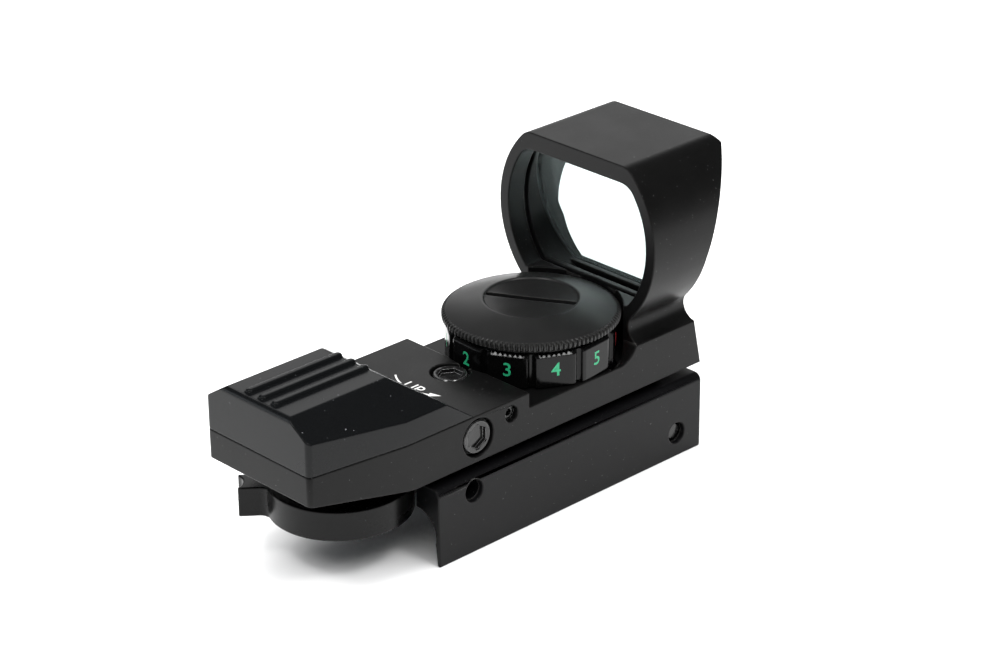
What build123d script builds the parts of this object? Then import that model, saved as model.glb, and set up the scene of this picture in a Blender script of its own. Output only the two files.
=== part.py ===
"""Open reflex sight: a cast housing with a lens hood, a rotary dial over a coin cell,
a reticle selector under the rear, a tilting mirror inside, and a rail clamp underneath.

Millimetres. +Z is up, +Y points forward through the lens, +X is the side with the
windage screw. The origin is the middle of the face that sits on top of the rail.
"""
import os
from math import atan2, cos, radians, sin, sqrt

from build123d import *

os.makedirs("parts", exist_ok=True)

# ---------------------------------------------------------------- driving dimensions
# Housing block
REAR_Y = -51.65            # rear face
FRONT_Y = 30.35            # foot of the front face
HALF_WIDTH = 14.04
REAR_HALF_WIDTH = 11.75    # the rear narrows towards its face
TAPER_Y = -34.35           # where the narrowing starts
REAR_CORNER = 0.9
BOTTOM_Z = 8.6
REAR_BOTTOM_Z = 11.7       # the underside rises towards the rear
BEND_Y = -32.65            # where that rise starts
BLOCK_TOP = 16.6
STEP_Y = -8.8              # the top drops here to the dial's floor
FLOOR_Z = 14.1
# Lens hood
HOOD_REAR = 15.3
HOOD_FRONT = 35.4
BROW_Y, BROW_Z = 36.0, 45.2  # foremost point of the hood, just under its top
HOOD_CENTRE = 33.0
HOOD_RADIUS = 17.43
HOOD_TOP = 46.28
BORE_RADIUS = 15.41
BORE_TOP = 43.3
HOOD_CORNER = 3.2
SEAT_DEPTH = 0.75          # the front of the bore is larger by this, for the lens
FLAT_Z = 22.6              # the rear of the bore has a flat floor at this height
FLAT_FRONT = 20.9
GROOVE_Y, GROOVE_WIDTH = 19.0, 0.8
LENS_Y = 22.45             # where the tilted lens crosses the hood's axis
LENS_TILT = 13.9           # its top leans back, degrees
LENS_THICK = 1.8
SILL_Z = 21.4              # top of the bar that the lens stands behind
SILL_THICK = 1.0
RETAINER_THICK = 2.4
NECK_TOP = 20.9            # below this the hood flares out to the block
WAIST_HALF = 12.0
WAIST_Z = 18.8
# Rear cover
COVER_FRONT = -20.57
RIDGE_FRONT = -32.25
RIDGE_Z = 25.0
RIDGE_HALF = 7.3
EAVE_Z = 22.1              # where the roof meets the rear face's corners
COVER_WALL = 1.5
RIB_X = (-3.25, -0.2, 2.75)
RIB_REAR, RIB_FRONT = -50.6, -31.9
# Dial and battery
DIAL_Y = 5.3
DIAL_RADIUS = 13.9
DIAL_TOP = 20.0
DIAL_FACETS = 11
DIAL_CHAMFER = 0.5
FACET_CENTRE = 5.0         # direction of one facet's middle, degrees from +X
CAP_RADIUS = 14.4
CAP_RIM_BOTTOM = 20.8
CAP_RIM_TOP = 21.95
CAP_TOP = 23.85
DISH_RADIUS = 8.02
CELL_RADIUS = 10.0
CELL_HEIGHT = 3.2
DETENT_Y = -29.0           # centre of the selector's click ball
RECESS_RADIUS = 14.7       # round pocket that lets the dial turn beside the hood
# Selector
SELECTOR_Y = -35.77
DRUM_RADIUS = 11.4
DRUM_BOTTOM = 1.7
DRUM_TOP = 6.65
TAB_REACH = 15.6
TAB_ANGLE = -130.0
# Rail clamp
MOUNT_HALF = 15.2
MOUNT_LENGTH = 58.5
MOUNT_TOP = 7.3
JAW_BOTTOM = -5.8
RAIL_HALF = 10.6           # half the widest part of the rail
RAIL_TOP_HALF = 7.85
JAW_LIP_HALF = 8.6
JAW_SPLIT = 10.95          # the movable jaw begins here on the far side
BOLT_RADIUS = 1.6
MOUNT_SCREW_Y = (-4.6, 18.6)
BOLT_HEAD_RADIUS = 2.75
REAR_BOLT = (-21.8, 4.8)   # y, z of the bolt above the rail
FRONT_BOLT = (23.65, -1.6)  # y, z of the bolt that drops into a rail groove
# Adjusters: y, z or x, y of their axes
WINDAGE_Y = -19.75
WINDAGE_Z = 12.8
ELEVATION_Y = -12.45
LOCK_Y = -12.65
LOCK_Z = 14.3
ADJUSTER_HEAD = 2.75
HEAD_HEIGHT = 1.05
SOCKET_RADIUS = 2.1        # hexagon socket, across its corners
SOCKET_DEPTH = 0.8
ADJUSTER_RECESS = 3.2
LOCK_HEAD = 1.2            # the lock screw's head, in a hole a little larger
LOCK_STEP = 11.4
CHAMBER_HALF = 9.6
CHAMBER_REAR = -45.8
CHAMBER_STEP = -22.5       # forward of this the chamber runs under the top plate
CHAMBER_FRONT = -10.3
GAP = 0.05                 # running clearance on a radius

HOOD_LENGTH = HOOD_FRONT - HOOD_REAR
dial_axis = Plane(origin=(0, DIAL_Y, 0))
selector_axis = Plane(origin=(0, SELECTOR_Y, 0))


def across(y):
    """A plane facing forward at a given y, with x to the right and z up."""
    return Plane.XZ.offset(-y)


def hole_x(radius, y, z, x_from, x_to):
    """Cut a hole along X in the part being built."""
    with BuildSketch(Plane(origin=(x_from, y, z), x_dir=(0, 1, 0), z_dir=(1, 0, 0))) as end:
        Circle(radius)
    extrude(end.sketch, amount=x_to - x_from, mode=Mode.SUBTRACT)


def rod_x(radius, y, z, x_from, x_to):
    """Add a round rod along X to the part being built."""
    with BuildSketch(Plane(origin=(x_from, y, z), x_dir=(0, 1, 0), z_dir=(1, 0, 0))) as end:
        Circle(radius)
    extrude(end.sketch, amount=x_to - x_from)


def rod_z(radius, x, y, z_from, z_to, mode=Mode.ADD):
    """Add or cut a round rod along Z."""
    with BuildSketch(Plane(origin=(x, y, z_from))) as end:
        Circle(radius)
    extrude(end.sketch, amount=z_to - z_from, mode=mode)


def block(x_from, x_to, y_from, y_to, z_from, z_to, mode=Mode.ADD):
    """Add or cut a rectangular block given by its limits."""
    with BuildSketch(Plane(origin=((x_from + x_to) / 2, (y_from + y_to) / 2, z_from))) as end:
        Rectangle(x_to - x_from, y_to - y_from)
    extrude(end.sketch, amount=z_to - z_from, mode=mode)


def footprint(inset):
    """Plan outline of the housing and its cover, drawn inside a sketch."""
    rear = REAR_Y + inset
    with BuildLine() as outline:
        Polyline(
            (0, rear),
            (REAR_HALF_WIDTH - inset, rear),
            (HALF_WIDTH - inset, TAPER_Y),
            (HALF_WIDTH - inset, FRONT_Y + 2),
            (0, FRONT_Y + 2),
        )
        mirror(about=Plane.YZ)
    make_face(outline.edges())


def hood_section(radius, top, floor=0):
    """Round section with a flat top, drawn inside a sketch. A floor above 0 cuts it flat."""
    with Locations((0, HOOD_CENTRE)):
        Circle(radius)
    with Locations((0, top)):
        Rectangle(4 * radius, 2 * radius, align=(Align.CENTER, Align.MIN), mode=Mode.SUBTRACT)
    with Locations((0, floor)):
        Rectangle(4 * radius, 2 * radius, align=(Align.CENTER, Align.MAX), mode=Mode.SUBTRACT)


def lens_plane(distance):
    """A plane parallel to the lens's rear face and a given distance ahead of it."""
    tilt = radians(LENS_TILT)
    rear = Plane(origin=(0, LENS_Y, HOOD_CENTRE), x_dir=(1, 0, 0), z_dir=(0, cos(tilt), sin(tilt)))
    return rear.offset(distance)


def lens_slab(inset, floor, start, end):
    """A slice of the bore between two planes parallel to the lens."""
    with BuildPart() as slab:
        with BuildSketch(across(HOOD_REAR)) as outline:
            hood_section(BORE_RADIUS - inset, BORE_TOP - inset, floor)
            fillet(outline.vertices().group_by(Axis.Y)[-1], HOOD_CORNER)
        extrude(amount=-3 * HOOD_LENGTH)
        split(bisect_by=lens_plane(start), keep=Keep.TOP)
        split(bisect_by=lens_plane(end), keep=Keep.BOTTOM)
    return slab.part


def spring(radius, wire, height, turns, plane):
    """A helical spring that starts on a plane, with its axis along the plane's normal."""
    with BuildPart() as coil:
        with BuildLine() as path:
            Helix(pitch=height / turns, height=height, radius=radius)
        with BuildSketch(Plane(path.line @ 0, z_dir=path.line % 0)):
            Circle(wire)
        sweep(path=path.line, is_frenet=True)
    return plane.location * coil.part


# ---------------------------------------------------------------- main housing
def front_cut():
    """Everything ahead of the sloping front, as seen from the side."""
    with BuildPart() as cut:
        with BuildSketch(Plane.YZ):
            with BuildLine():
                Line((HOOD_FRONT, HOOD_TOP), (BROW_Y, BROW_Z))
                ThreePointArc((BROW_Y, BROW_Z), (31.0, 37.6), (28.25, 29.0))
                ThreePointArc((28.25, 29.0), (28.1, 22.4), (28.7, BLOCK_TOP))
                Polyline(
                    (28.7, BLOCK_TOP),
                    (FRONT_Y, BOTTOM_Z),
                    (FRONT_Y, BOTTOM_Z - 2),
                    (45, BOTTOM_Z - 2),
                    (45, HOOD_TOP + 2),
                    (HOOD_FRONT, HOOD_TOP + 2),
                    (HOOD_FRONT, HOOD_TOP),
                )
            make_face()
        extrude(amount=30, both=True)
    return cut.part


# The bore: a flat floor at the rear, a ring groove, then a round bore up to the sill
with BuildPart() as hood_bore:
    with BuildSketch(across(HOOD_REAR - 1)) as rear_bore:
        hood_section(BORE_RADIUS, BORE_TOP, FLAT_Z)
        fillet(rear_bore.vertices().group_by(Axis.Y)[-1], HOOD_CORNER)
    extrude(amount=-(FLAT_FRONT - HOOD_REAR + 1))
    with BuildSketch(across(GROOVE_Y)) as ring_groove:
        hood_section(BORE_RADIUS + SEAT_DEPTH, BORE_TOP + SEAT_DEPTH, FLAT_Z - SEAT_DEPTH)
        fillet(ring_groove.vertices().group_by(Axis.Y)[-1], HOOD_CORNER)
    extrude(amount=-GROOVE_WIDTH)
    with BuildSketch(across(FLAT_FRONT)) as round_bore:
        hood_section(BORE_RADIUS, BORE_TOP)
        fillet(round_bore.vertices().group_by(Axis.Y)[-1], HOOD_CORNER)
    extrude(amount=-HOOD_LENGTH)
    split(bisect_by=lens_plane(-SILL_THICK), keep=Keep.BOTTOM)
    add(lens_slab(0, SILL_Z, -SILL_THICK, 1))
    add(lens_slab(-SEAT_DEPTH, SILL_Z - SEAT_DEPTH, 0, 2 * HOOD_LENGTH))


with BuildPart() as main_housing:
    with BuildSketch(Plane.XY.offset(BOTTOM_Z)):
        footprint(0)
    extrude(amount=BLOCK_TOP - BOTTOM_Z)
    rear_corners = main_housing.edges().filter_by(Axis.Z).group_by(Axis.Y)[0]
    fillet(rear_corners, REAR_CORNER)
    # Hood: a round tube with a flat top, on a waisted neck
    with BuildSketch(across(HOOD_REAR)) as hood:
        hood_section(HOOD_RADIUS, HOOD_TOP)
        fillet(hood.vertices().group_by(Axis.Y)[-1], HOOD_CORNER)
        with BuildLine():
            neck_half = sqrt(HOOD_RADIUS**2 - (HOOD_CENTRE - NECK_TOP) ** 2)
            ThreePointArc((neck_half, NECK_TOP), (WAIST_HALF, WAIST_Z), (HALF_WIDTH, BLOCK_TOP))
            Polyline((HALF_WIDTH, BLOCK_TOP), (HALF_WIDTH, BLOCK_TOP - 1), (0, BLOCK_TOP - 1))
            Line((neck_half, NECK_TOP), (0, NECK_TOP))
            mirror(about=Plane.YZ)
        make_face()
    extrude(amount=-(HOOD_LENGTH + 2))
    add(front_cut(), mode=Mode.SUBTRACT)
    add(hood_bore.part, mode=Mode.SUBTRACT)
    # Floor for the dial, with a large fillet up to the hood's rear face
    floor_fillet = 4.0
    with BuildSketch(Plane.YZ):
        with BuildLine():
            Polyline(
                (STEP_Y, HOOD_TOP + 2),
                (STEP_Y, FLOOR_Z),
                (HOOD_REAR - floor_fillet, FLOOR_Z),
            )
            RadiusArc(
                (HOOD_REAR - floor_fillet, FLOOR_Z),
                (HOOD_REAR, FLOOR_Z + floor_fillet),
                -floor_fillet,
            )
            Polyline(
                (HOOD_REAR, FLOOR_Z + floor_fillet),
                (HOOD_REAR, HOOD_TOP + 2),
                (STEP_Y, HOOD_TOP + 2),
            )
        make_face()
    extrude(amount=30, both=True, mode=Mode.SUBTRACT)
    rod_z(RECESS_RADIUS, 0, DIAL_Y, FLOOR_Z, 25.2, Mode.SUBTRACT)
    # Rising underside at the rear
    rise = (REAR_BOTTOM_Z - BOTTOM_Z) / (BEND_Y - REAR_Y)
    with BuildSketch(Plane.YZ):
        with BuildLine():
            Polyline(
                (BEND_Y, BOTTOM_Z),
                (REAR_Y - 2, REAR_BOTTOM_Z + 2 * rise),
                (REAR_Y - 2, BOTTOM_Z - 1),
                (BEND_Y, BOTTOM_Z - 1),
                close=True,
            )
        make_face()
    extrude(amount=30, both=True, mode=Mode.SUBTRACT)
    # Chamber for the light unit, open at the top under the cover
    block(-CHAMBER_HALF, CHAMBER_HALF, CHAMBER_REAR, -38, 12.6, BLOCK_TOP, Mode.SUBTRACT)
    block(-CHAMBER_HALF, CHAMBER_HALF, -38, CHAMBER_STEP, 10.2, BLOCK_TOP, Mode.SUBTRACT)
    block(-CHAMBER_HALF, CHAMBER_HALF, CHAMBER_STEP, -16.5, 10.2, 15.0, Mode.SUBTRACT)
    block(-6.5, 6.5, -16.5, CHAMBER_FRONT, 10.2, 12.7, Mode.SUBTRACT)
    # Selector shaft and its detent
    rod_z(2.0 + GAP, 0, SELECTOR_Y, 7, 14, Mode.SUBTRACT)
    rod_z(0.75, 0, DETENT_Y, BOTTOM_Z - 0.5, 10.4, Mode.SUBTRACT)
    # Dial: ring recess for the board, bush, clip pocket and detent hole
    with BuildSketch(dial_axis.offset(FLOOR_Z)):
        Circle(12.5)
        Circle(4.4, mode=Mode.SUBTRACT)
    extrude(amount=-1.2, mode=Mode.SUBTRACT)
    rod_z(4.2, 0, DIAL_Y, 10, 15, Mode.SUBTRACT)
    rod_z(5.6, 0, DIAL_Y, BOTTOM_Z, 10.1, Mode.SUBTRACT)
    rod_z(0.85, 0, DIAL_Y - 13.3, 10.6, 15, Mode.SUBTRACT)
    # Lead channel from the chamber to the board recess
    with BuildSketch(across(CHAMBER_FRONT - 1)):
        with Locations((4.4, 10.9)):
            Rectangle(2.4, 1.4)
    extrude(amount=-8, mode=Mode.SUBTRACT)
    block(3.2, 5.6, -5.4, -3.0, 10.2, 13.5, Mode.SUBTRACT)
    # Adjuster and lock screw holes
    hole_x(1.75 + GAP, WINDAGE_Y, WINDAGE_Z, 5, 20)
    hole_x(ADJUSTER_RECESS, WINDAGE_Y, WINDAGE_Z, HALF_WIDTH - 1.3, 20)
    hole_x(1.0, WINDAGE_Y, WINDAGE_Z + 0.7, -11.6, -9)
    hole_x(1.1, LOCK_Y, LOCK_Z, 1.0, 20)
    hole_x(LOCK_HEAD + 0.1, LOCK_Y, LOCK_Z, LOCK_STEP, 20)
    rod_z(1.5 + GAP, 0, ELEVATION_Y, 12, 20, Mode.SUBTRACT)
    rod_z(ADJUSTER_RECESS, 0, ELEVATION_Y, BLOCK_TOP - 1.3, 20, Mode.SUBTRACT)
    rod_z(1.35, 0, ELEVATION_Y, 9.5, 11, Mode.SUBTRACT)
    # Cover screws from below, mount screws into the floor
    for x, y, base in ((8.2, -48.8, 11.3), (11.7, -28.0, BOTTOM_Z)):
        for side in (-1, 1):
            rod_z(1.1, side * x, y, 7, 18, Mode.SUBTRACT)
            rod_z(2.0, side * x, y, 7, base + 1.5, Mode.SUBTRACT)
    for y in MOUNT_SCREW_Y:
        rod_z(1.75, 0, y, 7, 12.2, Mode.SUBTRACT)
main_housing.part.label = "main_housing"
export_step(main_housing.part, "parts/main_housing.step")


# ---------------------------------------------------------------- rear cover and window
RAMP_SLOPE = atan2(RIDGE_Z - BLOCK_TOP, COVER_FRONT - RIDGE_FRONT)
ROOF_SLOPE = (RIDGE_Z - EAVE_Z) / (REAR_HALF_WIDTH - RIDGE_HALF)
WINDOW_Y = -23.7
WINDOW_Z = RIDGE_Z - (WINDOW_Y - RIDGE_FRONT) * (RIDGE_Z - BLOCK_TOP) / (COVER_FRONT - RIDGE_FRONT)
ramp = Plane(
    origin=(0, WINDOW_Y, WINDOW_Z),
    x_dir=(1, 0, 0),
    z_dir=(0, sin(RAMP_SLOPE), cos(RAMP_SLOPE)),
)


def cover_form(inset):
    """Outer form of the cover, or its hollow when inset by the wall."""
    roof_drop = inset * sqrt(1 + ROOF_SLOPE**2)
    eave = RIDGE_Z - (HALF_WIDTH + 2 - RIDGE_HALF) * ROOF_SLOPE
    with BuildPart() as form:
        with BuildSketch(across(REAR_Y + inset)):
            with BuildLine():
                Polyline(
                    (0, BLOCK_TOP - inset),
                    (HALF_WIDTH + 2, BLOCK_TOP - inset),
                    (HALF_WIDTH + 2, eave - roof_drop),
                    (RIDGE_HALF - (roof_drop - inset) / ROOF_SLOPE, RIDGE_Z - inset),
                    (0, RIDGE_Z - inset),
                )
                mirror(about=Plane.YZ)
            make_face()
        extrude(amount=REAR_Y - COVER_FRONT + inset)
        with BuildSketch(Plane.XY.offset(BLOCK_TOP - inset)):
            footprint(inset)
        extrude(amount=RIDGE_Z, mode=Mode.INTERSECT)
        split(bisect_by=ramp.offset(-inset), keep=Keep.BOTTOM)
    return form.part


cover_hollow = cover_form(COVER_WALL)

with BuildPart() as rear_cover:
    add(cover_form(0))
    fillet(rear_cover.edges().filter_by(Axis.Z).group_by(Axis.Y)[0], REAR_CORNER)
    fillet(rear_cover.edges().group_by(Axis.Z)[-1], 0.9)
    with BuildSketch(Plane.XY.offset(RIDGE_Z - 1.0)) as rib_plan:
        for x in RIB_X:
            with Locations((x, (RIB_REAR + RIB_FRONT) / 2)):
                SlotOverall(RIB_FRONT - RIB_REAR, 1.5, rotation=90)
    extrude(amount=1.6)
    fillet(rear_cover.edges().group_by(Axis.Z)[-1], 0.55)
    add(cover_hollow, mode=Mode.SUBTRACT)
    for x, y in ((8.2, -48.8), (11.7, -28.0)):
        for side in (-1, 1):
            rod_z(1.75, side * x, y, BLOCK_TOP, 20.2)
            rod_z(1.0, side * x, y, BLOCK_TOP - 1, 19.6, Mode.SUBTRACT)
    with BuildSketch(ramp):
        Rectangle(6.6, 4.2)
    extrude(amount=-4, mode=Mode.SUBTRACT)
    with BuildSketch(ramp):
        Rectangle(8.2, 5.4)
    extrude(amount=-0.8, mode=Mode.SUBTRACT)
rear_cover.part.label = "rear_cover"
export_step(rear_cover.part, "parts/rear_cover.step")

with BuildPart() as cover_window:
    with BuildSketch(ramp.offset(-0.8)):
        RectangleRounded(8.1, 5.3, 0.3)
    extrude(amount=0.7)
cover_window.part.label = "cover_window"
export_step(cover_window.part, "parts/cover_window.step")

with BuildPart() as cover_screws:
    for x, y, base in ((8.2, -48.8, 11.3), (11.7, -28.0, BOTTOM_Z)):
        for side in (-1, 1):
            rod_z(0.98, side * x, y, base + 1.4, 19.4)
            rod_z(1.85, side * x, y, base + 0.3, base + 1.5)
            block(side * x - 1.3, side * x + 1.3, y - 0.25, y + 0.25, base, base + 0.8, Mode.SUBTRACT)
cover_screws.part.label = "cover_screws"
export_step(cover_screws.part, "parts/cover_screws.step")

# ---------------------------------------------------------------- lens
LENS_PLAY = 0.1
RETAINER_PLAY = 0.03
objective_lens = lens_slab(
    LENS_PLAY - SEAT_DEPTH, SILL_Z - SEAT_DEPTH + LENS_PLAY, 0, LENS_THICK
)
objective_lens.label = "objective_lens"
export_step(objective_lens, "parts/objective_lens.step")

with BuildPart() as lens_retainer:
    ring_front = LENS_THICK + RETAINER_THICK
    ring_floor = SILL_Z - SEAT_DEPTH + RETAINER_PLAY
    add(lens_slab(RETAINER_PLAY - SEAT_DEPTH, ring_floor, LENS_THICK, ring_front))
    add(lens_slab(0, SILL_Z, 0, 2 * ring_front), mode=Mode.SUBTRACT)
    add(front_cut(), mode=Mode.SUBTRACT)
lens_retainer.part.label = "lens_retainer"
export_step(lens_retainer.part, "parts/lens_retainer.step")

# ---------------------------------------------------------------- dial group
dial_bottom = FLOOR_Z + 0.2
with BuildPart() as brightness_dial:
    with BuildSketch(dial_axis.offset(dial_bottom)):
        Circle(DIAL_RADIUS)
        RegularPolygon(
            DIAL_RADIUS * cos(radians(180 / DIAL_FACETS)) + 0.3,
            DIAL_FACETS,
            major_radius=False,
            rotation=FACET_CENTRE + 180 / DIAL_FACETS,
            mode=Mode.INTERSECT,
        )
    extrude(amount=DIAL_TOP - dial_bottom)
    chamfer(brightness_dial.edges().group_by(Axis.Z)[-1], DIAL_CHAMFER)
    with BuildSketch(dial_axis.offset(dial_bottom)):
        with PolarLocations(DIAL_RADIUS, DIAL_FACETS, start_angle=FACET_CENTRE + 180 / DIAL_FACETS):
            Circle(0.65)
    extrude(amount=DIAL_TOP - dial_bottom, mode=Mode.SUBTRACT)
    rod_z(CELL_RADIUS + 0.3, 0, DIAL_Y, 15.6, DIAL_TOP + 1, Mode.SUBTRACT)
    rod_z(11.3 + GAP, 0, DIAL_Y, 17.8, DIAL_TOP + 1, Mode.SUBTRACT)
    rod_z(3.3, 0, DIAL_Y, 9.0, dial_bottom)
    with BuildSketch(dial_axis.offset(9.3)):
        Circle(4)
        Circle(2.7, mode=Mode.SUBTRACT)
    extrude(amount=0.5, mode=Mode.SUBTRACT)
brightness_dial.part.label = "brightness_dial"
export_step(brightness_dial.part, "parts/brightness_dial.step")

with BuildPart() as dial_bush:
    with BuildSketch(dial_axis.offset(10.1)):
        Circle(4.2)
        Circle(3.3 + GAP, mode=Mode.SUBTRACT)
    extrude(amount=4.0)
dial_bush.part.label = "dial_bush"
export_step(dial_bush.part, "parts/dial_bush.step")

with BuildPart() as dial_clip:
    with BuildSketch(dial_axis.offset(9.35)):
        Circle(5.0)
        Circle(2.7, mode=Mode.SUBTRACT)
        with Locations((0, -5)):
            Rectangle(3.4, 8, mode=Mode.SUBTRACT)
    extrude(amount=0.4)
dial_clip.part.label = "dial_clip"
export_step(dial_clip.part, "parts/dial_clip.step")

with BuildPart() as rheostat_board:
    with BuildSketch(dial_axis.offset(FLOOR_Z - 1.2)):
        Circle(12.3)
        Circle(4.5, mode=Mode.SUBTRACT)
    extrude(amount=0.8)
rheostat_board.part.label = "rheostat_board"
export_step(rheostat_board.part, "parts/rheostat_board.step")

with BuildPart() as wiper_contact:
    with BuildSketch(Plane(origin=(0, DIAL_Y - 8, dial_bottom - 0.2))):
        SlotOverall(7, 2.4)
    extrude(amount=0.2)
    for x in (-2, 2):
        rod_z(0.5, x, DIAL_Y - 8, FLOOR_Z - 0.36, dial_bottom - 0.2)
wiper_contact.part.label = "wiper_contact"
export_step(wiper_contact.part, "parts/wiper_contact.step")

cell_bottom = 16.3
with BuildPart() as coin_cell:
    with BuildSketch(dial_axis.offset(cell_bottom)):
        Circle(CELL_RADIUS - 1.2)
    extrude(amount=0.3)
    with BuildSketch(dial_axis.offset(cell_bottom + 0.3)):
        Circle(CELL_RADIUS)
    extrude(amount=CELL_HEIGHT - 0.3)
    fillet(coin_cell.edges().group_by(Axis.Z)[-1], 0.4)
coin_cell.part.label = "coin_cell"
export_step(coin_cell.part, "parts/coin_cell.step")

with BuildPart() as battery_contact:
    with BuildSketch(dial_axis.offset(15.6)):
        Circle(4)
    extrude(amount=0.2)
    with BuildSketch(dial_axis.offset(15.8)):
        with PolarLocations(2.6, 3):
            SlotOverall(3.4, 1.2)
    extrude(amount=0.5, taper=12)
battery_contact.part.label = "battery_contact"
export_step(battery_contact.part, "parts/battery_contact.step")

with BuildPart() as cap_seal:
    with BuildSketch(dial_axis.offset(DIAL_TOP + 0.02)):
        Circle(12.9)
        Circle(11.4, mode=Mode.SUBTRACT)
    extrude(amount=CAP_RIM_BOTTOM - DIAL_TOP - 0.04)
cap_seal.part.label = "cap_seal"
export_step(cap_seal.part, "parts/cap_seal.step")

with BuildPart() as battery_cap:
    with BuildSketch(Plane(origin=(0, DIAL_Y, 0), x_dir=(1, 0, 0), z_dir=(0, -1, 0))):
        with BuildLine():
            Polyline(
                (0, CAP_RIM_BOTTOM),
                (10.3, CAP_RIM_BOTTOM),
                (10.3, 18.0),
                (11.3, 18.0),
                (11.3, CAP_RIM_BOTTOM),
                (CAP_RADIUS, CAP_RIM_BOTTOM),
                (CAP_RADIUS, CAP_RIM_TOP),
                (DISH_RADIUS + 0.4, CAP_TOP),
                (DISH_RADIUS, CAP_TOP),
                (DISH_RADIUS - 0.7, CAP_TOP - 0.45),
                (0, CAP_TOP - 0.55),
                close=True,
            )
        make_face()
    revolve(axis=Axis((0, DIAL_Y, 0), (0, 0, 1)))
    with BuildSketch(dial_axis.offset(CAP_TOP + 0.1)):
        with Locations(Rotation(0, 0, 30.2)):
            SlotOverall(15.2, 1.3)
    extrude(amount=-1.9, mode=Mode.SUBTRACT)
battery_cap.part.label = "battery_cap"
export_step(battery_cap.part, "parts/battery_cap.step")

with BuildPart() as dial_detent_ball:
    with Locations((0, DIAL_Y - 13.3, dial_bottom - 0.72)):
        Sphere(0.7)
dial_detent_ball.part.label = "dial_detent_ball"
export_step(dial_detent_ball.part, "parts/dial_detent_ball.step")

dial_detent_spring = spring(0.55, 0.12, 2.0, 4, Plane(origin=(0, DIAL_Y - 13.3, 10.75)))
dial_detent_spring.label = "dial_detent_spring"
export_step(dial_detent_spring, "parts/dial_detent_spring.step")

# ---------------------------------------------------------------- light unit
RETICLE_Y = SELECTOR_Y + 6.2
with BuildPart() as emitter_board:
    block(-3.6, 5.4, -33.0, -26.4, 10.2, 11.0)
    rod_z(2.2, 0, SELECTOR_Y, 10, 12, Mode.SUBTRACT)
emitter_board.part.label = "emitter_board"
export_step(emitter_board.part, "parts/emitter_board.step")

with BuildPart() as emitter_led:
    with BuildSketch(Plane(origin=(0, RETICLE_Y, 11.0))):
        Circle(1.45)
    extrude(amount=1.1)
    with BuildSketch(Plane(origin=(0, RETICLE_Y, 11.0))):
        Circle(1.7)
    extrude(amount=0.4)
    fillet(emitter_led.edges().group_by(Axis.Z)[-1], 0.6)
emitter_led.part.label = "emitter_led"
export_step(emitter_led.part, "parts/emitter_led.step")

with BuildPart() as lead_wires:
    for x in (4.0, 4.8):
        with BuildLine() as route:
            FilletPolyline((x, -26.4, 10.55), (x, -4.2, 10.8), (x, -4.2, 12.9), radius=0.8)
        with BuildSketch(Plane(route.line @ 0, z_dir=route.line % 0)):
            Circle(0.3)
        sweep(path=route.line)
lead_wires.part.label = "lead_wires"
export_step(lead_wires.part, "parts/lead_wires.step")

# ---------------------------------------------------------------- selector
TAB_HALF = 2.3
with BuildPart() as selector_drum:
    with BuildSketch(selector_axis.offset(DRUM_BOTTOM)) as drum_plan:
        Circle(DRUM_RADIUS)
        with Locations(Rotation(0, 0, TAB_ANGLE)):
            with Locations((TAB_REACH / 2 + 3, 0)):
                Rectangle(TAB_REACH - 6, 2 * TAB_HALF)
            with Locations((TAB_REACH + 1.9, 0)):
                Circle(2.7, mode=Mode.SUBTRACT)
        by_reach = drum_plan.vertices().sort_by(lambda v: sqrt(v.X**2 + v.Y**2))
        fillet([v for v in by_reach if abs(sqrt(v.X**2 + v.Y**2) - DRUM_RADIUS) < 0.01 and v.X < -1], 1.7)
    extrude(amount=DRUM_TOP - DRUM_BOTTOM)
    rod_z(3.6, 0, SELECTOR_Y, DRUM_TOP, 8.5)
    rod_z(2.0, 0, SELECTOR_Y, 8.5, 13.5)
    rod_z(0.85, 0, SELECTOR_Y, 9.4, 14, Mode.SUBTRACT)
selector_drum.part.label = "selector_drum"
export_step(selector_drum.part, "parts/selector_drum.step")

with BuildPart() as reticle_disc:
    with BuildSketch(selector_axis.offset(13.5)):
        Circle(8.0)
        Circle(0.9, mode=Mode.SUBTRACT)
    extrude(amount=0.6)
reticle_disc.part.label = "reticle_disc"
export_step(reticle_disc.part, "parts/reticle_disc.step")

with BuildPart() as selector_screw:
    rod_z(0.8, 0, SELECTOR_Y, 9.5, 14.1)
    rod_z(1.6, 0, SELECTOR_Y, 14.1, 14.7)
selector_screw.part.label = "selector_screw"
export_step(selector_screw.part, "parts/selector_screw.step")

with BuildPart() as selector_detent_ball:
    with Locations((0, DETENT_Y, DRUM_TOP + 0.72)):
        Sphere(0.7)
selector_detent_ball.part.label = "selector_detent_ball"
export_step(selector_detent_ball.part, "parts/selector_detent_ball.step")

selector_detent_spring = spring(0.5, 0.12, 1.9, 4, Plane(origin=(0, DETENT_Y, DRUM_TOP + 1.6)))
selector_detent_spring.label = "selector_detent_spring"
export_step(selector_detent_spring, "parts/selector_detent_spring.step")

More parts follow.
